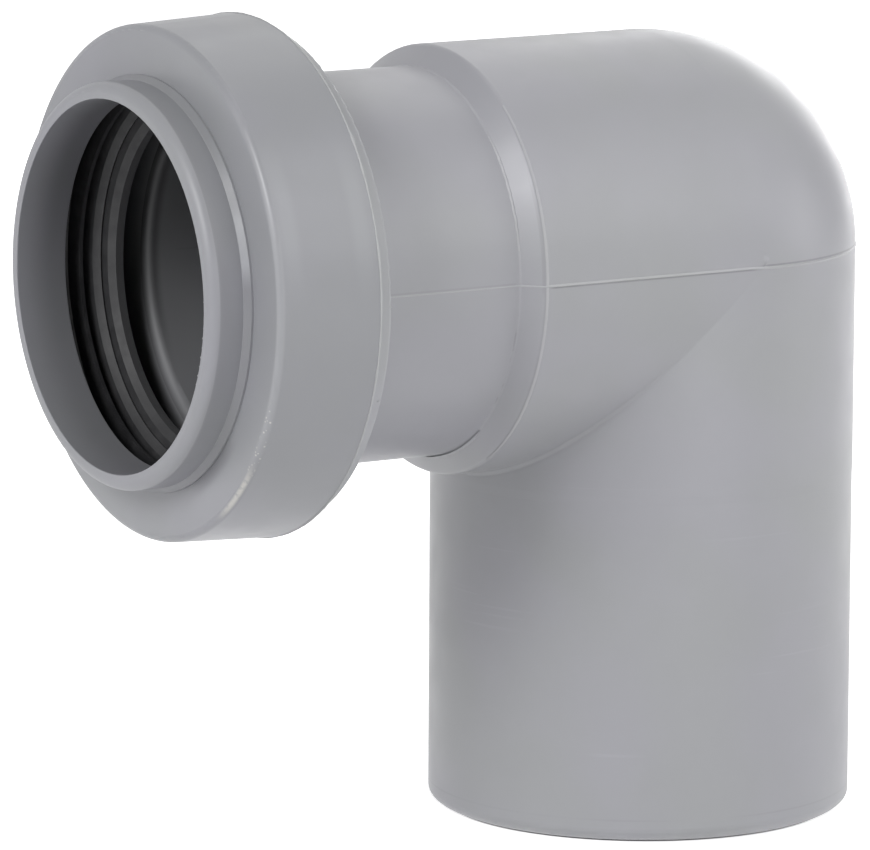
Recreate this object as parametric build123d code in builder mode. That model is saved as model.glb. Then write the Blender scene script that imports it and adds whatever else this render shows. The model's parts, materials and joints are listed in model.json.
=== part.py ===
"""Reducing drain elbow: a 50 mm spigot turned through a right angle to a push-fit socket for 40 mm pipe.

Sizes are in millimetres. The spigot stands on its lower end at the origin, +Z is up,
and the socket's mouth faces -X.
"""

import os
from math import cos, radians, sin

from build123d import *

os.makedirs("parts", exist_ok=True)

# Spigot, the larger pipe end
spigot_diameter = 50.0
spigot_wall = 3.4
centre_height = 67.2  # from the spigot's end to where the two pipe axes cross
lead_in_height = 1.82  # rounded end that starts the spigot into a seal
lead_in_depth = 2.4
lead_in_sweep = 73.0  # degrees of an ellipse, so that the rounding stops short of level

# Bend, a hair larger than the spigot, which alone is held to pipe size
bend_growth = 0.05
bend_run_in = 1.0  # length of the taper from the spigot to the bend

# Level limb and the socket tube beyond it
limb_overhang = 4.5  # how far the limb reaches past the bend's side
limb_edge = 0.8  # rounding at the end of the limb
step_length = 2.1  # cone between the limb and the socket tube
step_root = 0.4
crease_rounding = 0.6  # inner corner between limb and spigot
socket_tube_length = 21.0
socket_wall = 2.1
pipe_stop = 1.3  # shoulder that the pushed-in pipe comes up against

# Pipe that is pushed into the socket
pipe_diameter = 40.0
pipe_clearance = 0.5  # radial room round the pipe in the socket tube

# Flange at the end of the socket tube, with a raised register that centres the cap
flange_shoulder = 1.2  # ledge that the cap's skirt is welded to
flange_thickness = 2.05
flange_root = 0.8
flange_edge = 0.35
register_height = 1.0
register_clearance = 0.1
entry_rounding = 1.0  # where the pipe enters the socket tube

# Retaining cap
cap_wall = 1.62  # skirt, at its front edge
cap_draft = 0.58  # radial growth of the skirt from front to rear
cap_web = 1.45
cap_edge = 0.8  # rounding round the front face
nose_length = 5.0
nose_clearance = 1.3  # radial room round the pipe in the nose
nose_wall = 1.9
nose_base_cone = 0.34  # raised ring where the nose leaves the front face
nose_base_length = 1.0
nose_base_softening = 0.15
nose_groove = 0.2  # fine groove between that ring and the front face
nose_rim_rounding = 1.2
nose_inner_edge = 0.12

# Lip seal
seal_depth = 7.3  # radial room for the seal outside the socket's bore
seal_clearance = 0.05
seal_width = 10.2
seal_end_play = 0.1
heel_depth = 1.2  # radial thickness of the rear foot
front_ring_depth = 2.0  # radial thickness of the front face
rib_setback = 2.18  # from the seal's front face
rib_thickness = 0.45
rib_flare = 2.1  # radial room between the pipe and the rib's tip
rib_height = 2.8
rib_groove = 1.32  # from the rib to the funnel
rib_groove_depth = 2.3
funnel_flare = 2.2  # radial room between the pipe and the funnel's wide end
funnel_length = 1.7
funnel_line = 0.25  # fine groove round the middle of the funnel
lip_squeeze = 0.3  # how far the lip stands inside the pipe's surface
lip_land = 1.0
lip_thickness = 0.85
pocket_web = 0.9  # rubber between the hollow behind the lip and the funnel

# Radii
spigot_radius = spigot_diameter / 2
spigot_bore_radius = spigot_radius - spigot_wall
bend_radius = spigot_radius + bend_growth
pipe_radius = pipe_diameter / 2
socket_bore_radius = pipe_radius + pipe_clearance
socket_tube_radius = socket_bore_radius + socket_wall
waterway_radius = socket_bore_radius - pipe_stop
chamber_radius = socket_bore_radius + seal_depth
register_radius = chamber_radius - register_clearance
flange_radius = register_radius + flange_shoulder
cap_radius = chamber_radius + cap_wall
nose_bore_radius = pipe_radius + nose_clearance
nose_radius = nose_bore_radius + nose_wall
nose_base_radius = nose_radius + nose_base_cone

# Half axes of the ellipse that rounds the spigot's end
rounding_height = lead_in_height / sin(radians(lead_in_sweep))
rounding_depth = lead_in_depth / (1 - cos(radians(lead_in_sweep)))

# Heights on the spigot: its free length ends clear of the rounding under the limb
bend_bottom = centre_height - bend_radius - 2 * crease_rounding
spigot_top = bend_bottom - bend_run_in

# Places along the socket's axis, from the crossing of the axes towards the mouth
limb_end = bend_radius + limb_overhang
tube_start = limb_end + step_length
flange_rear = tube_start + socket_tube_length
flange_front = flange_rear + flange_thickness
seal_seat = flange_front + register_height
seal_front = seal_seat + seal_width
web_rear = seal_front + seal_end_play
cap_front = web_rear + cap_web
mouth = cap_front + nose_length

# In this plane the first coordinate runs towards the mouth and the second is the radius
centre = Vector(0, 0, centre_height)
socket_plane = Plane(origin=centre, x_dir=(-1, 0, 0), z_dir=(0, 1, 0))
socket_axis = Axis(centre, (-1, 0, 0))


def rounded_profile(corners):
    """Close a line through (distance, radius, rounding) corners and fill it."""
    with BuildLine() as outline:
        FilletPolyline(
            [(distance, radius) for distance, radius, rounding in corners],
            radius=[rounding for distance, radius, rounding in corners],
            close=True,
        )
    make_face(outline.edges())


# Elbow body: one moulding, from the spigot's end to the flange
limb_corners = [
    (0, 0, 0),
    (0, bend_radius, 0),
    (limb_end, bend_radius, limb_edge),
    (tube_start, socket_tube_radius, step_root),
    (flange_rear, socket_tube_radius, flange_root),
    (flange_rear, flange_radius, flange_edge),
    (flange_front, flange_radius, 0),
    (flange_front, register_radius, 0),
    (seal_seat, register_radius, 0),
    (seal_seat, 0, 0),
]
entry_radius = socket_bore_radius + 2 * entry_rounding
socket_corners = [
    (0, 0, 0),
    (0, waterway_radius, 0),
    (tube_start, waterway_radius, 0),
    (tube_start, socket_bore_radius, 0),
    (seal_seat, socket_bore_radius, entry_rounding),
    (seal_seat, entry_radius, 0),
    (mouth, entry_radius, 0),
    (mouth, 0, 0),
]
with BuildPart() as elbow_body:
    with BuildSketch(Plane.XZ):
        with BuildLine():
            lead_in = EllipticalCenterArc(
                (spigot_radius - rounding_depth, lead_in_height),
                rounding_depth,
                rounding_height,
                start_angle=-lead_in_sweep,
                arc_size=lead_in_sweep,
            )
            Polyline(
                lead_in @ 1,
                (spigot_radius, spigot_top),
                (bend_radius, bend_bottom),
                (bend_radius, centre_height),
                (0, centre_height),
                (0, 0),
                lead_in @ 0,
            )
        make_face()
    revolve(axis=Axis.Z)
    # Level limb, step, socket tube and flange
    with BuildSketch(socket_plane):
        rounded_profile(limb_corners)
    revolve(axis=socket_axis)
    # Outer corner: a quarter of a ball closes both pipes
    with BuildSketch(Plane.XY.offset(centre_height)):
        Circle(bend_radius)
        with Locations((-bend_radius, 0)):
            Rectangle(2 * bend_radius, 2 * bend_radius, mode=Mode.SUBTRACT)
    revolve(axis=Axis(centre, (0, -1, 0)), revolution_arc=90)
    # Inner corner, where the limb's underside meets the spigot
    creases = elbow_body.edges().filter_by(GeomType.ELLIPSE)
    fillet(creases.filter_by_position(Axis.Z, bend_bottom, centre_height), crease_rounding)
    # Waterway: the spigot's bore with its domed end, then the socket's bore
    with BuildSketch(Plane.XZ):
        with BuildLine():
            bore_side = Polyline((0, 0), (spigot_bore_radius, 0), (spigot_bore_radius, centre_height))
            dome = RadiusArc(bore_side @ 1, (0, centre_height + spigot_bore_radius), -spigot_bore_radius)
            Line(dome @ 1, bore_side @ 0)
        make_face()
    revolve(axis=Axis.Z, mode=Mode.SUBTRACT)
    with BuildSketch(socket_plane):
        rounded_profile(socket_corners)
    revolve(axis=socket_axis, mode=Mode.SUBTRACT)

elbow_body.part.label = "elbow_body"
export_step(elbow_body.part, "parts/elbow_body.step")

# Retaining cap: skirt, front face and nose in one moulding, welded to the flange's shoulder
cap_corners = [
    (flange_front, cap_radius + cap_draft, 0),
    (cap_front, cap_radius, cap_edge),
    (cap_front, nose_base_radius + nose_groove, 0),
    (cap_front - nose_groove, nose_base_radius, 0),
    (cap_front + nose_base_length, nose_radius, nose_base_softening),
    (mouth, nose_radius, nose_rim_rounding),
    (mouth, nose_bore_radius, nose_inner_edge),
    (web_rear, nose_bore_radius, nose_inner_edge),
    (web_rear, chamber_radius, 0),
    (flange_front, chamber_radius, 0),
]
with BuildPart() as retaining_cap:
    with BuildSketch(socket_plane):
        rounded_profile(cap_corners)
    revolve(axis=socket_axis)

retaining_cap.part.label = "retaining_cap"
export_step(retaining_cap.part, "parts/retaining_cap.step")

# Lip seal: a rubber ring that sits on the register, behind the cap's front face
seal_radius = chamber_radius - seal_clearance
heel_radius = seal_radius - heel_depth
rib_front = seal_front - rib_setback
rib_rear = rib_front - rib_thickness
rib_radius = pipe_radius + rib_flare
funnel_front = rib_rear - rib_groove
funnel_radius = pipe_radius + funnel_flare
land_front = funnel_front - funnel_length
land_rear = land_front - lip_land
pocket_end = funnel_front - pocket_web
lip_radius = pipe_radius - lip_squeeze
line_place = (funnel_front + land_front) / 2
line_radius = (funnel_radius + lip_radius) / 2
line_rise = funnel_line * (funnel_radius - lip_radius) / funnel_length
with BuildPart() as lip_seal:
    with BuildSketch(socket_plane):
        with BuildLine():
            Polyline(
                (seal_seat, seal_radius),
                (seal_front, seal_radius),
                (seal_front, seal_radius - front_ring_depth),
                (rib_front, rib_radius + rib_height),
                (rib_front, rib_radius),
                (rib_rear, rib_radius),
                (rib_rear - rib_groove / 2, rib_radius + rib_groove_depth),
                (funnel_front, funnel_radius),
                (line_place + funnel_line, line_radius + line_rise),
                (line_place, line_radius + 2 * funnel_line),
                (line_place - funnel_line, line_radius - line_rise),
                (land_front, lip_radius),
                (land_rear, lip_radius),
                (land_rear, lip_radius + lip_thickness),
                (pocket_end, funnel_radius + lip_thickness),
                (pocket_end, heel_radius),
                (seal_seat, heel_radius),
                close=True,
            )
        make_face()
    revolve(axis=socket_axis)

lip_seal.part.label = "lip_seal"
export_step(lip_seal.part, "parts/lip_seal.step")
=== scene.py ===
"""Reducing drain elbow: finishes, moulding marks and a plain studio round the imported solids.

Lengths are in metres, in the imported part's own frame: the spigot stands on its end at the origin,
+Z is up and the socket's mouth faces -X. Angles round the socket's axis start at the near side (-Y)
and rise towards +Z.
"""

import json
import math

import bmesh
import bpy
from mathutils import Matrix, Vector


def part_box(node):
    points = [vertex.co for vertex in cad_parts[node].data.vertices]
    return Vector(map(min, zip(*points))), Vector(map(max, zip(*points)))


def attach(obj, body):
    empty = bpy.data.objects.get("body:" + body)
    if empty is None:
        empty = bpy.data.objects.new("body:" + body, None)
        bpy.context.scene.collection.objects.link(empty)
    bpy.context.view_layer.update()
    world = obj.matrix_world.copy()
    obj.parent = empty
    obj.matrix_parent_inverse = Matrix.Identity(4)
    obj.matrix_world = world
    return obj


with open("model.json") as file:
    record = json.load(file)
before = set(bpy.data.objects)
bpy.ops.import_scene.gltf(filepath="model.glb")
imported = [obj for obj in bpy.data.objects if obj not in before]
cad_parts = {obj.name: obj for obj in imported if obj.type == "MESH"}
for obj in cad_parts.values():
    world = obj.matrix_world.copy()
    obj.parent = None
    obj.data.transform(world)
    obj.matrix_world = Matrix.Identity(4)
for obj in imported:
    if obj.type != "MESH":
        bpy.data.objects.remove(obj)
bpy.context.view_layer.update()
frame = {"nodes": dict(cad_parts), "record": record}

MM = 0.001
mounts = {mount["name"]: mount for mount in frame["record"]["mounts"]}
axis_height = mounts["socket"]["pos_m"][2]
spigot_radius = mounts["spigot"]["dims"]["r_mm"] * MM
mouth_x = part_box("retaining_cap")[0].x
weld_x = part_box("retaining_cap")[1].x
skirt_rear_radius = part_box("retaining_cap")[1].y

# Places along the socket and radii that marks and finishes are set out from
face_x = mouth_x + 5.0 * MM
flange_rear_x = weld_x + 2.05 * MM
limb_edge_x = -29.55 * MM
tube_start_x = -31.65 * MM
lip_x = -59.75 * MM
front_edge_radius = skirt_rear_radius - 0.9 * MM
nose_radius = 23.2 * MM
nose_bore_radius = 21.3 * MM
socket_tube_radius = 22.6 * MM
clear_of_part = 80 * MM

# Camera, fitted to the photograph's outline
image_width_px = 870
camera_focal_px = 7469.08
camera_place = Vector((-0.484249, -0.725605, 0.193015))
camera_heading = math.radians(-32.115)
camera_pitch = math.radians(90 - 9.628)
camera_roll = math.radians(0.289)
sensor_width_mm = 36.0

# Greys of the two mouldings and their flash, and the rubber's black
body_grey = (0.350, 0.353, 0.375)
cap_grey = (0.290, 0.293, 0.316)
flash_grey = (0.41, 0.413, 0.43)
rubber_black = (0.020, 0.020, 0.022)
body_roughness = 0.38
cap_roughness = 0.35


# Materials
class Nodes:
    """Short calls for the nodes of one material."""

    def __init__(self, tree):
        self.tree = tree

    def add(self, kind, inputs=None, **settings):
        node = self.tree.nodes.new(kind)
        for name, value in settings.items():
            setattr(node, name, value)
        for socket, value in (inputs or {}).items():
            self.put(value, node.inputs[socket])
        return node

    def put(self, value, socket):
        if isinstance(value, bpy.types.NodeSocket):
            self.tree.links.new(value, socket)
        else:
            socket.default_value = value

    def math(self, operation, first, second=0.0):
        return self.add("ShaderNodeMath", {0: first, 1: second}, operation=operation).outputs[0]

    def over(self, value, level):
        return self.math("GREATER_THAN", value, level)

    def under(self, value, level):
        return self.math("LESS_THAN", value, level)

    def ramp(self, value, low, high, to_low=0.0, to_high=1.0):
        """Goes smoothly from one level to another while a value goes from low to high."""
        settings = {"Value": value, "From Min": low, "From Max": high, "To Min": to_low, "To Max": to_high}
        return self.add("ShaderNodeMapRange", settings, interpolation_type="SMOOTHSTEP").outputs["Result"]

    def band(self, value, centre, half_width, fade):
        """1 within a half width of a centre, fading to 0 beyond it."""
        distance = self.math("ABSOLUTE", self.math("SUBTRACT", value, centre))
        return self.ramp(distance, half_width, half_width + fade, 1.0, 0.0)

    def noise(self, place, scale, detail=2.0, roughness=0.5):
        settings = {"Vector": place, "Scale": scale, "Detail": detail, "Roughness": roughness}
        return self.add("ShaderNodeTexNoise", settings).outputs["Fac"]

    def stretched(self, place, stretch):
        return self.add("ShaderNodeMapping", {"Vector": place, "Scale": stretch}).outputs["Vector"]

    def tint(self, factor, first, second, blend="MIX"):
        node = self.add("ShaderNodeMix", data_type="RGBA", blend_type=blend)
        self.put(factor, node.inputs[0])
        for colour, socket in ((first, node.inputs[6]), (second, node.inputs[7])):
            self.put(colour if isinstance(colour, bpy.types.NodeSocket) else (*colour, 1), socket)
        return node.outputs[2]

    def specks(self, place, scale, share, size):
        """Small round spots in a share of the cells of a loose grid."""
        cells = self.add("ShaderNodeTexVoronoi", {"Vector": place, "Scale": scale})
        draw = self.add("ShaderNodeSeparateColor", {0: cells.outputs["Color"]}).outputs[0]
        chosen = self.under(draw, share)
        spot = self.ramp(cells.outputs["Distance"], size * 0.5, size, 1.0, 0.0)
        return self.math("MULTIPLY", chosen, spot)


def new_material(name):
    """A material with its Principled shader and its node helper."""
    material = bpy.data.materials.new(name)
    material.use_nodes = True
    return material, material.node_tree.nodes["Principled BSDF"], Nodes(material.node_tree)


class MouldedPlastic:
    """Satin grey polypropylene with a faint mottle, specks and a fine grain."""

    def __init__(self, name, grey, roughness):
        self.material, self.shader, self.nodes = new_material(name)
        n = self.nodes
        self.place = n.add("ShaderNodeTexCoord").outputs["Object"]
        axes = n.add("ShaderNodeSeparateXYZ", {0: self.place}).outputs
        self.x, self.y, self.z = axes["X"], axes["Y"], axes["Z"]
        red, green, blue = grey
        drift = n.ramp(n.noise(self.place, 45.0, 2.0), 0.35, 0.65)
        greener = (red, green * 1.006, blue * 0.985)
        bluer = (red * 1.004, green * 0.996, blue * 1.012)
        self.colour = n.tint(drift, greener, bluer)
        cloud = n.ramp(n.noise(self.place, 90.0, 4.0), 0.3, 0.7, 0.985, 1.015)
        mottle = n.add("ShaderNodeCombineColor", {0: cloud, 1: cloud, 2: cloud}).outputs[0]
        self.colour = n.tint(1.0, self.colour, mottle, "MULTIPLY")
        self.paint(n.specks(self.place, 150.0, 0.10, 0.03), (0.22, 0.22, 0.23))
        self.paint(n.specks(self.place, 110.0, 0.14, 0.022), (0.50, 0.50, 0.51))
        self.gloss = n.ramp(n.noise(self.place, 220.0, 4.0), 0.3, 0.7, roughness - 0.03, roughness + 0.03)
        self.grain = n.noise(self.place, 2600.0, 3.0, 0.6)
        # Height over the socket's axis, distance from it, and angle round it
        self.rise = n.math("SUBTRACT", self.z, axis_height)
        self.radius = self.distance(self.y, self.rise)
        self.angle = n.math("ARCTAN2", self.rise, n.math("MULTIPLY", self.y, -1.0))

    def distance(self, first, second):
        """Length of the slope with two sides at right angles."""
        n = self.nodes
        squares = n.math("MULTIPLY", first, first), n.math("MULTIPLY", second, second)
        return n.math("SQRT", n.math("ADD", *squares))

    def round_band(self, centre, half_width, fade):
        """1 over a stretch of angles round the socket, in degrees."""
        return self.nodes.band(self.angle, math.radians(centre), math.radians(half_width), math.radians(fade))

    def overlap(self, *masks):
        """1 only where every mask is 1."""
        product = masks[0]
        for mask in masks[1:]:
            product = self.nodes.math("MULTIPLY", product, mask)
        return product

    def paint(self, mask, colour):
        self.colour = self.nodes.tint(mask, self.colour, colour)

    def dull(self, mask, roughness):
        """Sets the roughness where the mask is 1."""
        self.gloss = self.nodes.add(
            "ShaderNodeMix", {0: mask, 2: self.gloss, 3: roughness}, data_type="FLOAT"
        ).outputs[0]

    def shade(self, mask, factor):
        """Darkens or lightens the plastic where the mask is 1."""
        self.colour = self.nodes.tint(mask, self.colour, (factor, factor, factor), "MULTIPLY")

    def finished(self):
        n = self.nodes
        n.put(self.colour, self.shader.inputs["Base Color"])
        n.put(self.gloss, self.shader.inputs["Roughness"])
        bump = n.add("ShaderNodeBump", {"Height": self.grain, "Strength": 0.06, "Distance": 0.00005})
        n.put(bump.outputs["Normal"], self.shader.inputs["Normal"])
        return self.material


def body_plastic():
    """The elbow body's grey and rubbed lines, with painted shade at its parting line, inner corner, step
    edges and inside, and painted light on the step and by the collar.
    """
    plastic = MouldedPlastic("satin_grey_body", body_grey, body_roughness)
    n, overlap = plastic.nodes, plastic.overlap
    wander = n.noise(plastic.place, 45.0, 2.0)
    # Painted shade of the mould's witness line near the spigot's end, a faint dark line
    witness_shade = n.band(plastic.z, 2.8 * MM, 0.04 * MM, 0.12 * MM)
    plastic.shade(overlap(witness_shade, n.ramp(wander, 0.35, 0.6)), 0.93)
    # Rubbed lines run level round the spigot, broken along their length
    level = n.noise(n.stretched(plastic.place, (25.0, 25.0, 1500.0)), 1.0, 2.0)
    below_bend = n.ramp(plastic.rise, -26 * MM, -24 * MM, 1.0, 0.0)
    plastic.shade(overlap(n.ramp(level, 0.66, 0.72), n.ramp(wander, 0.5, 0.62), below_bend), 1.05)
    # Shade under the flash on the limb, and over it round the outer corner and on the tube
    under = n.band(plastic.rise, -0.14 * MM, 0.05 * MM, 0.08 * MM)
    over = n.band(plastic.rise, 0.26 * MM, 0.05 * MM, 0.10 * MM)
    plastic.shade(overlap(under, n.band(plastic.x, -15.0 * MM, 13.4 * MM, 1.2 * MM)), 0.78)
    plastic.shade(overlap(over, n.ramp(plastic.x, -1.5 * MM, 1.5 * MM)), 0.74)
    plastic.shade(overlap(over, n.band(plastic.x, -42.0 * MM, 9.5 * MM, 0.5 * MM)), 0.93)
    # Painted shade along the inner corner, at its deepest stretch
    crease_shade = n.band(n.math("SUBTRACT", plastic.x, plastic.rise), 0.0, 0.2 * MM, 1.0 * MM)
    below = n.ramp(plastic.rise, -2.0 * MM, -0.5 * MM, 1.0, 0.0)
    deep = n.ramp(plastic.x, -23.0 * MM, -8.0 * MM, 1.0, 0.0)
    plastic.shade(overlap(crease_shade, below, deep), 0.91)
    # Painted shade: fine dark lines beside the edges of the step
    limb_edge_shade = n.band(plastic.x, limb_edge_x - 0.31 * MM, 0.05 * MM, 0.12 * MM)
    plastic.shade(overlap(limb_edge_shade, plastic.round_band(14, 12, 6)), 0.90)
    tube_edge_shade = n.band(plastic.x, tube_start_x - 0.15 * MM, 0.05 * MM, 0.12 * MM)
    broken = n.ramp(n.noise(plastic.place, 500.0, 2.0), 0.45, 0.55)
    plastic.shade(overlap(tube_edge_shade, plastic.round_band(-24, 12, 6), broken), 0.85)
    # Painted highlight on the step's near upper side
    step_highlight = n.band(plastic.x, limb_edge_x - 1.15 * MM, 0.8 * MM, 0.3 * MM)
    plastic.shade(overlap(step_highlight, plastic.round_band(22, 8, 16)), 1.07)
    # Painted light on the flange's rim and on the tube beside the collar, lightening the shadows the collar
    # casts
    lit_flange = overlap(
        n.over(plastic.radius, skirt_rear_radius - 2.5 * MM), n.under(plastic.x, flange_rear_x + 0.65 * MM)
    )
    plastic.shade(lit_flange, 1.12)
    on_tube = overlap(
        n.over(plastic.radius, socket_tube_radius - 0.3 * MM),
        n.under(plastic.radius, socket_tube_radius + 0.4 * MM),
    )
    lit_beside_collar = n.band(plastic.x, flange_rear_x + 4.15 * MM, 1.5 * MM, 5 * MM)
    plastic.shade(overlap(on_tube, lit_beside_collar, plastic.round_band(30, 8, 30)), 1.07)
    # The inside of the socket tube is duller, with painted shade inside it, least at the bottom, and at the
    # bore's entrance
    inside = overlap(n.under(plastic.radius, socket_tube_radius - 0.7 * MM), n.under(plastic.x, -15 * MM))
    plastic.shade(overlap(inside, n.ramp(plastic.rise, -16 * MM, 10 * MM, 0.50, 1.0)), 0.34)
    plastic.dull(inside, 0.55)
    entry_shade = n.ramp(plastic.x, weld_x - 0.2 * MM, weld_x + 1.1 * MM, 1.0, 0.0)
    near_bore = n.under(plastic.radius, skirt_rear_radius - 3.0 * MM)
    plastic.shade(overlap(entry_shade, near_bore, n.ramp(plastic.rise, -14 * MM, -2 * MM)), 0.45)
    return plastic.finished()


def cap_plastic():
    """The cap's grey, rubbed pale on the lower near part of its front edge, with painted shade on and in the
    nose and at its foot, and painted highlights on its edge, foot ring and skirt.
    """
    plastic = MouldedPlastic("satin_grey_cap", cap_grey, cap_roughness)
    n, overlap = plastic.nodes, plastic.overlap
    behind_rim = n.math("SUBTRACT", plastic.x, mouth_x)
    # Scuffed front edge: a rubbed stretch, and loose flecks above it
    behind_edge = n.math("SUBTRACT", plastic.x, face_x + 0.25 * MM)
    off_edge = plastic.distance(behind_edge, n.math("SUBTRACT", plastic.radius, front_edge_radius))
    flakes = n.noise(plastic.place, 1100.0, 4.0, 0.65)
    worn = n.ramp(flakes, 0.32, 0.52, 0.35, 1.0)
    edge = n.ramp(off_edge, 0.12 * MM, 0.45 * MM, 1.0, 0.0)
    scuff = n.math("MULTIPLY", overlap(edge, plastic.round_band(-47, 3, 9), worn), 0.55)
    plastic.paint(scuff, (0.70, 0.68, 0.62))
    wide_edge = n.ramp(off_edge, 0.3 * MM, 0.6 * MM, 1.0, 0.0)
    flecks = n.specks(plastic.place, 2400.0, 0.45, 0.38)
    plastic.paint(overlap(wide_edge, plastic.round_band(-30, 7, 4), flecks), (0.52, 0.51, 0.49))
    # Painted highlight along the front edge's near side
    edge_highlight = n.ramp(off_edge, 0.35 * MM, 0.7 * MM, 1.0, 0.0)
    plastic.shade(overlap(edge_highlight, plastic.round_band(0, 24, 14)), 1.10)
    # Painted shade on the nose just behind its rim, and inside it
    outside_nose = n.band(plastic.radius, nose_radius - 0.15 * MM, 0.2 * MM, 0.05 * MM)
    wall_start = n.ramp(behind_rim, 1.0 * MM, 1.12 * MM)
    wall_shade = overlap(wall_start, n.ramp(behind_rim, 1.2 * MM, 3.6 * MM, 1.0, 0.25))
    plastic.shade(overlap(outside_nose, wall_shade), 0.86)
    inside_nose = n.under(plastic.radius, nose_bore_radius + 0.06 * MM)
    depth = n.ramp(behind_rim, 0.1 * MM, 5.0 * MM, 0.0, 1.0)
    plastic.shade(overlap(inside_nose, depth, n.ramp(plastic.rise, -18 * MM, 12 * MM, 0.36, 1.0)), 0.54)
    on_rim = overlap(n.under(behind_rim, 1.3 * MM), n.over(plastic.radius, nose_bore_radius + 0.2 * MM))
    plastic.dull(on_rim, 0.42)
    # Painted shade on the sloping ring at the nose's foot, with a painted highlight over a short stretch
    on_slope = overlap(
        n.band(plastic.x, face_x - 0.6 * MM, 0.36 * MM, 0.02 * MM),
        n.band(plastic.radius, nose_radius + 0.32 * MM, 0.28 * MM, 0.02 * MM),
    )
    plastic.shade(on_slope, 0.80)
    plastic.shade(overlap(on_slope, plastic.round_band(18, 4, 9)), 1.55)
    # Painted highlights: two soft pale bands near the edges of the skirt
    front_band = n.band(behind_rim, 7.0 * MM, 0.3 * MM, 1.3 * MM)
    rear_band = n.band(behind_rim, 15.9 * MM, 0.3 * MM, 1.3 * MM)
    on_skirt = n.over(plastic.radius, skirt_rear_radius - 1.0 * MM)
    skirt_highlights = overlap(n.math("ADD", front_band, rear_band), on_skirt)
    plastic.shade(overlap(skirt_highlights, plastic.round_band(21, 5, 16)), 1.08)
    # Painted shade at the foot of the nose
    foot_shade = overlap(
        n.band(plastic.x, face_x, 0.3 * MM, 0.1 * MM),
        n.band(plastic.radius, nose_radius + 1.1 * MM, 0.3 * MM, 1.2 * MM),
    )
    plastic.shade(overlap(foot_shade, plastic.round_band(-52, 6, 12)), 0.80)
    return plastic.finished()


def flash_plastic():
    """Thin squeezed-out plastic, paler than the mouldings."""
    return MouldedPlastic("pale_flash", flash_grey, 0.42).finished()


def black_rubber():
    """Dull black rubber with a bloom of fine dust, and a lip painted lighter."""
    material, shader, n = new_material("dull_black_rubber")
    place = n.add("ShaderNodeTexCoord").outputs["Object"]
    dust = n.ramp(n.noise(place, 300.0, 4.0, 0.6), 0.35, 0.75)
    colour = n.tint(dust, rubber_black, (0.035, 0.035, 0.037))
    # Painted light: the lip is a little greyer than the rest
    along = n.add("ShaderNodeSeparateXYZ", {0: place}).outputs["X"]
    colour = n.tint(n.band(along, lip_x + 0.05 * MM, 0.5 * MM, 0.1 * MM), colour, (0.07, 0.07, 0.073))
    n.put(colour, shader.inputs["Base Color"])
    n.put(n.ramp(n.noise(place, 700.0, 3.0), 0.3, 0.7, 0.42, 0.56), shader.inputs["Roughness"])
    grain = n.noise(place, 2200.0, 3.0)
    bump = n.add("ShaderNodeBump", {"Height": grain, "Strength": 0.15, "Distance": 0.00006})
    n.put(bump.outputs["Normal"], shader.inputs["Normal"])
    return material


def dress(node, material):
    """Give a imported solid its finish."""
    for slot in frame["nodes"][node].material_slots:
        slot.material = material


satin_body = body_plastic()
satin_cap = cap_plastic()
pale_flash = flash_plastic()
rubber = black_rubber()
dress("elbow_body", satin_body)
dress("retaining_cap", satin_cap)
dress("lip_seal", rubber)


# Moulding and welding marks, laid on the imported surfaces
def surface_point(node, start, heading):
    """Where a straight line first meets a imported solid."""
    found, place, normal, face = frame["nodes"][node].ray_cast(start, heading)
    return place


def round_the_socket(angle):
    """Outward direction at an angle round the socket's axis."""
    return Vector((0, -math.cos(angle), math.sin(angle)))


def on_socket(node, x, angle):
    """The solid's outside at a place along the socket and an angle round it."""
    outward = round_the_socket(angle)
    start = Vector((x, 0, axis_height)) + outward * clear_of_part
    return surface_point(node, start, -outward)


def extruded(name, sections):
    """A closed piece drawn from section to section: a flat outline, extruded along a path of outlines."""
    bpy.ops.object.select_all(action="DESELECT")
    bpy.ops.mesh.primitive_circle_add(vertices=len(sections[0]), radius=MM, fill_type="NGON")
    piece = bpy.context.object
    piece.name = name
    for vertex, point in zip(piece.data.vertices, sections[0]):
        vertex.co = point
    bpy.ops.object.mode_set(mode="EDIT")
    bpy.ops.mesh.select_mode(type="FACE")
    bpy.ops.mesh.select_all(action="SELECT")
    for last, section in zip(sections, sections[1:]):
        bpy.ops.mesh.extrude_region_move()
        shape = bmesh.from_edit_mesh(piece.data)
        for vertex in [v for v in shape.verts if v.select]:
            nearest = min(range(len(last)), key=lambda k: (last[k] - vertex.co).length_squared)
            vertex.co = section[nearest]
        bmesh.update_edit_mesh(piece.data)
    bpy.ops.mesh.select_all(action="SELECT")
    bpy.ops.mesh.normals_make_consistent(inside=False)
    bpy.ops.object.mode_set(mode="OBJECT")
    bpy.ops.object.shade_smooth_by_angle(angle=math.radians(50))
    return piece


def fix_on(piece, material):
    """Finish a piece and make it part of the elbow."""
    piece.data.materials.clear()
    piece.data.materials.append(material)
    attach(piece, "root")


def section_at(place, outward, sideways, outline):
    """An outline of (sideways, outward) lengths in millimetres, set down on a surface."""
    return [place + sideways * (s * MM) + outward * (o * MM) for s, o in outline]


def uneven(value, seed):
    """A smooth, repeatable waver between -1 and 1."""
    waves = ((1.0, 1.0), (2.7, 2.1), (6.1, 3.7))
    return sum(math.sin(value * pace + seed * shift) for pace, shift in waves) / len(waves)


def fade(value, low, high, length):
    """1 between two ends and down to 0 at them."""
    return max(0.02, min(1.0, (value - low) / length, (high - value) / length))


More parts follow.
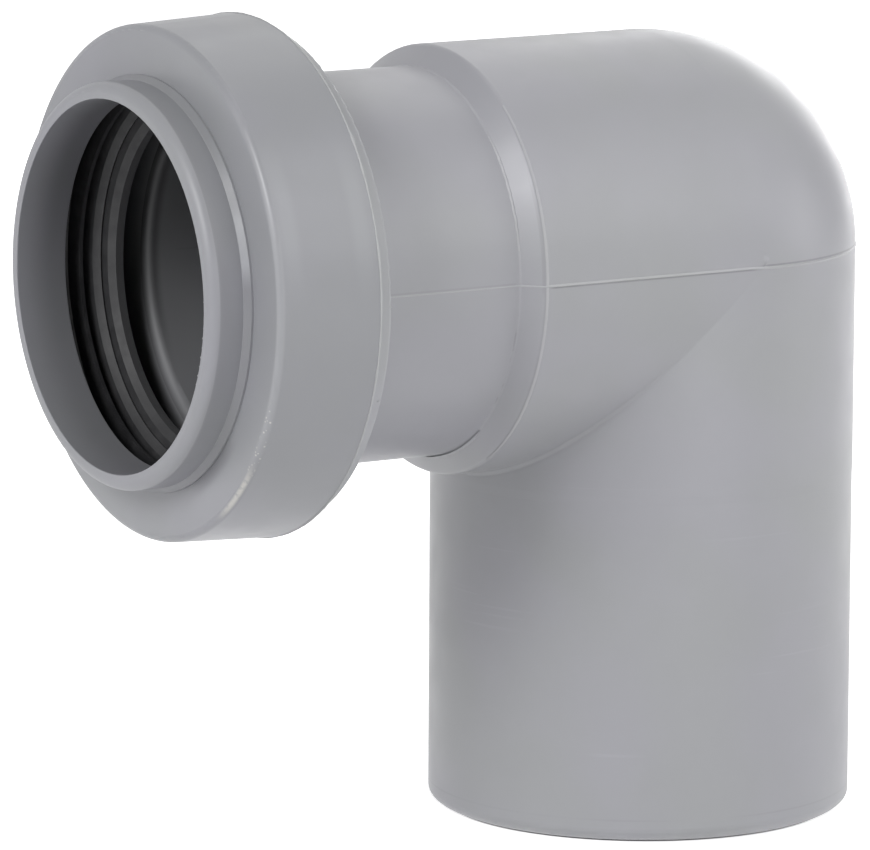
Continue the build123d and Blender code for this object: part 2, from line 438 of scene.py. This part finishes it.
def parting_flash():
    """The ridge where the two halves of the mould met, level round tube, limb and outer corner."""
    up = Vector((0, 0, 1))
    level = axis_height + 0.01 * MM
    tube_end, limb_end = flange_rear_x + 0.9 * MM, limb_edge_x - 0.65 * MM
    stations = []
    for side in (-1, 1):
        steps = 150
        run = []
        for k in range(steps):
            x = tube_end * (1 - k / steps)
            outward = Vector((0, side, 0))
            start = Vector((x, side * clear_of_part, level))
            run.append((surface_point("elbow_body", start, -outward), outward))
        stations.append(run)
    corner = []
    for k in range(91):
        angle = math.pi * k / 90
        outward = Vector((math.sin(angle), -math.cos(angle), 0))
        start = Vector((0, 0, level)) + outward * clear_of_part
        corner.append((surface_point("elbow_body", start, -outward), outward))
    path = stations[0] + corner + stations[1][::-1]
    sections = []
    for count, (place, outward) in enumerate(path):
        proud = 0.02 * uneven(count * 0.35, 1.3)
        ends = fade(count, 0, len(path) - 1, 4)
        on_limb = min(1.0, max(0.0, (place.x - limb_end) / (1 * MM)))
        on_corner = min(1.0, max(0.0, (place.x + 2 * MM) / (4 * MM)))
        above = 0.15 + 0.15 * on_limb * (1 - on_corner)
        below = 0.16 - 0.06 * on_limb + 0.2 * on_corner
        proud += 0.07 + 0.05 * on_limb
        outline = [(above, -0.05), (0.02, proud * ends), (-0.02, proud * ends), (-below, -0.05)]
        sections.append(section_at(place, outward, up, outline))
    fix_on(extruded("parting_flash", sections), pale_flash)


def socket_ridge(name, node, x, first_angle, last_angle, outline, material, seed, roughness=0.35):
    """A thin raised line round part of the socket, at a place along it. Angles in degrees."""
    along = Vector((1, 0, 0))
    sections = []
    steps = max(12, int(abs(last_angle - first_angle) * 1.5))
    for k in range(steps + 1):
        angle = math.radians(first_angle + (last_angle - first_angle) * k / steps)
        place = on_socket(node, x, angle)
        size = fade(k, 0, steps, steps * 0.2) * (1 + roughness * uneven(k * 0.9, seed))
        shaped = [(s, o * size if o > 0 else o) for s, o in outline]
        sections.append(section_at(place, round_the_socket(angle), along, shaped))
    fix_on(extruded(name, sections), material)


def weld_bead():
    """Plastic pressed out of the weld, all round the skirt's rear edge."""
    middle = skirt_rear_radius - 0.02 * MM
    lumps_at = (38, 31, 12, -14, -47, 66)
    bpy.ops.object.select_all(action="DESELECT")
    bpy.ops.mesh.primitive_torus_add(
        location=(weld_x, 0, axis_height), rotation=(0, math.pi / 2, 0),
        major_segments=360, minor_segments=10, major_radius=middle, minor_radius=0.14 * MM,
    )
    bead = bpy.context.object
    bead.name = "weld_bead"
    bpy.ops.object.transform_apply(location=True, rotation=True, scale=True)
    for vertex in bead.data.vertices:
        angle = math.atan2(vertex.co.z - axis_height, -vertex.co.y)
        ring = Vector((weld_x, 0, axis_height)) + round_the_socket(angle) * middle
        turn = math.degrees(angle)
        lump = sum(0.55 * math.exp(-((turn - at) / 0.9) ** 2) for at in lumps_at)
        vertex.co = ring + (vertex.co - ring) * (0.85 + 0.25 * uneven(angle * 40, 0.7) + lump)
    bpy.ops.object.shade_smooth()
    fix_on(bead, pale_flash)


def turned(name, outline, steps=240):
    """A closed ring turned round the socket's axis from an outline of (x, radius) points."""
    bpy.ops.object.select_all(action="DESELECT")
    bpy.ops.mesh.primitive_circle_add(vertices=len(outline), radius=MM, fill_type="NOTHING")
    piece = bpy.context.object
    piece.name = name
    for vertex, (x, radius) in zip(piece.data.vertices, outline):
        vertex.co = (x, 0, axis_height + radius)
    bpy.ops.object.mode_set(mode="EDIT")
    bpy.ops.mesh.select_all(action="SELECT")
    bpy.ops.mesh.spin(steps=steps, angle=2 * math.pi, center=(0, 0, axis_height), axis=(1, 0, 0))
    bpy.ops.mesh.select_all(action="SELECT")
    bpy.ops.mesh.remove_doubles(threshold=0.001 * MM)
    bpy.ops.mesh.normals_make_consistent(inside=False)
    bpy.ops.object.mode_set(mode="OBJECT")
    bpy.ops.object.shade_smooth_by_angle(angle=math.radians(35))
    return piece


def nose_base_ring():
    """The sloping ring that strengthens the nose where it leaves the front face."""
    outline = [(-1.0, -0.02), (-0.27, 0.58), (0.05, 0.58), (0.05, -0.02)]
    ring = turned("nose_base_ring", [(face_x + x * MM, nose_radius + out * MM) for x, out in outline])
    fix_on(ring, satin_cap)


def lumps(name, places, material):
    """Small lumps of plastic, each at (place, angle round the socket in radians, size in millimetres)."""
    made = []
    for place, turn, size in places:
        bpy.ops.object.select_all(action="DESELECT")
        bpy.ops.mesh.primitive_ico_sphere_add(subdivisions=2, radius=size * MM, location=place)
        lump = bpy.context.object
        lump.scale = (1.5, 0.8, 1.1)
        lump.rotation_euler = (turn, 0, 0)
        made.append(lump)
    for lump in made:
        lump.select_set(True)
    bpy.ops.object.join()
    piece = bpy.context.object
    piece.name = name
    bpy.ops.object.transform_apply(location=True, rotation=True, scale=True)
    bpy.ops.object.shade_smooth()
    fix_on(piece, material)


def weld_specks():
    """Drops of plastic left on the flange beside the weld."""
    spots = [(-52.8, 0, 0.14), (-53.1, -22, 0.1), (-53.6, 57, 0.12)]
    places = []
    for x, angle, size in spots:
        turn = math.radians(angle)
        places.append((on_socket("elbow_body", x * MM, turn), turn, size))
    lumps("weld_specks", places, pale_flash)


def rim_burrs():
    """Tiny burrs along the near inner edge of the nose."""
    spots = [
        (3, 0.07), (-5, 0.06), (-8, 0.10), (-11, 0.07), (-14, 0.11),
        (-17, 0.08), (-20, 0.10), (-23, 0.07), (-27, 0.06),
    ]
    places = []
    for angle, size in spots:
        turn = math.radians(angle)
        middle = Vector((mouth_x + 0.06 * MM, 0, axis_height))
        place = middle + round_the_socket(turn) * (nose_bore_radius + 0.04 * MM)
        places.append((place, turn, size))
    lumps("rim_burrs", places, pale_flash)


parting_flash()
socket_ridge(
    "step_ridge_upper", "elbow_body", tube_start_x + 0.03 * MM, 46, 10,
    [(0.22, -0.05), (0.0, 0.14), (-0.16, -0.05)], pale_flash, 2.0,
)
socket_ridge(
    "step_ridge_lower", "elbow_body", tube_start_x + 0.20 * MM, -52, -84,
    [(0.3, -0.05), (0.0, 0.16), (-0.25, -0.05)], satin_body, 5.0, 0.7,
)
socket_ridge(
    "limb_edge_ridge", "elbow_body", limb_edge_x + 0.10 * MM, 52, -60,
    [(0.34, -0.05), (0.0, 0.05), (-0.24, -0.05)], pale_flash, 3.0,
)
weld_bead()
nose_base_ring()
weld_specks()
rim_burrs()


# Studio
def white_for_the_eye(nodes):
    """1 for camera, glossy and transmission rays, 0 for the rays that light the part."""
    path = nodes.add("ShaderNodeLightPath").outputs
    seen = nodes.math("MAXIMUM", path["Is Camera Ray"], path["Is Glossy Ray"])
    return nodes.math("MAXIMUM", seen, path["Is Transmission Ray"])


def studio_world():
    """White to look at, with the light left to the lamps."""
    world = bpy.data.worlds.new("white_studio")
    bpy.context.scene.world = world
    world.use_nodes = True
    nodes = Nodes(world.node_tree)
    background = world.node_tree.nodes["Background"]
    background.inputs["Color"].default_value = (1, 1, 1, 1)
    nodes.put(white_for_the_eye(nodes), background.inputs["Strength"])


def studio_floor():
    """A pale floor that keeps the part's shadow, with a painted shadow where its glow dims towards the
    spigot, and stays dark inside the standing spigot.
    """
    bpy.ops.object.select_all(action="DESELECT")
    bpy.ops.mesh.primitive_plane_add(size=6.0)
    floor = bpy.context.object
    floor.name = "studio_floor"
    for vertex in floor.data.vertices:
        vertex.co.z = -0.02 * MM
    material, shader, nodes = new_material("white_floor")
    shader.inputs["Base Color"].default_value = (0.9, 0.9, 0.9, 1)
    shader.inputs["Roughness"].default_value = 0.9
    shader.inputs["Specular IOR Level"].default_value = 0.0
    shader.inputs["Emission Color"].default_value = (1, 1, 1, 1)
    place = nodes.add("ShaderNodeTexCoord").outputs["Object"]
    from_spigot = nodes.add("ShaderNodeVectorMath", {0: place}, operation="LENGTH").outputs["Value"]
    outside = nodes.over(from_spigot, spigot_radius - 2 * MM)
    # Painted shadow: the glow seen by the eye dims towards the spigot
    white = nodes.ramp(from_spigot, 0.05, 0.35, 0.72, 1.0)
    glow = nodes.math("MAXIMUM", nodes.math("MULTIPLY", white_for_the_eye(nodes), white), 0.14)
    nodes.put(nodes.math("MULTIPLY", glow, outside), shader.inputs["Emission Strength"])
    floor.data.materials.append(material)


def softbox(name, azimuth, elevation, width, height, power):
    """A lamp that looks at the part. Azimuth 0 stands in front (-Y), and turns towards +X."""
    distance = 0.8
    turn, rise = math.radians(azimuth), math.radians(elevation)
    direction = Vector((math.sin(turn) * math.cos(rise), -math.cos(turn) * math.cos(rise), math.sin(rise)))
    target = Vector((-0.02, 0, 0.05))
    lamp = bpy.data.lights.new(name, "AREA")
    lamp.shape = "RECTANGLE"
    lamp.size = width
    lamp.size_y = height
    lamp.energy = power
    holder = bpy.data.objects.new(name, lamp)
    holder.location = target + direction * distance
    holder.rotation_euler = direction.to_track_quat("Z", "Y").to_euler()
    bpy.context.scene.collection.objects.link(holder)


def photo_camera():
    """The camera, where the fit to the photograph puts it."""
    data = bpy.data.cameras.new("photo_camera")
    data.sensor_width = sensor_width_mm
    data.lens = camera_focal_px * sensor_width_mm / image_width_px
    data.clip_end = 20
    holder = bpy.data.objects.new("photo_camera", data)
    turn = (
        Matrix.Rotation(camera_heading, 3, "Z")
        @ Matrix.Rotation(camera_pitch, 3, "X")
        @ Matrix.Rotation(camera_roll, 3, "Z")
    )
    holder.location = camera_place
    holder.rotation_euler = turn.to_euler()
    bpy.context.scene.collection.objects.link(holder)
    bpy.context.scene.camera = holder


studio_world()
studio_floor()
softbox("left_lamp", -72, 31, 0.28, 0.36, 3.3)
softbox("left_low_lamp", -100, 8, 0.6, 0.4, 0.8)
softbox("front_lamp", 0, 12, 0.4, 0.5, 1.3)
softbox("right_lamp", 30, 36, 0.4, 0.6, 1.4)
softbox("right_low_lamp", 60, 8, 0.4, 0.4, 1.25)
softbox("side_lamp", 75, 42, 0.4, 0.5, 0.35)
softbox("rear_low_lamp", 130, 10, 0.4, 0.4, 1.3)
softbox("rear_high_lamp", 130, 48, 0.4, 0.5, 0.55)
softbox("top_lamp", 0, 88, 0.5, 0.5, 0.8)
photo_camera()
bpy.context.scene.view_settings.view_transform = "Standard"
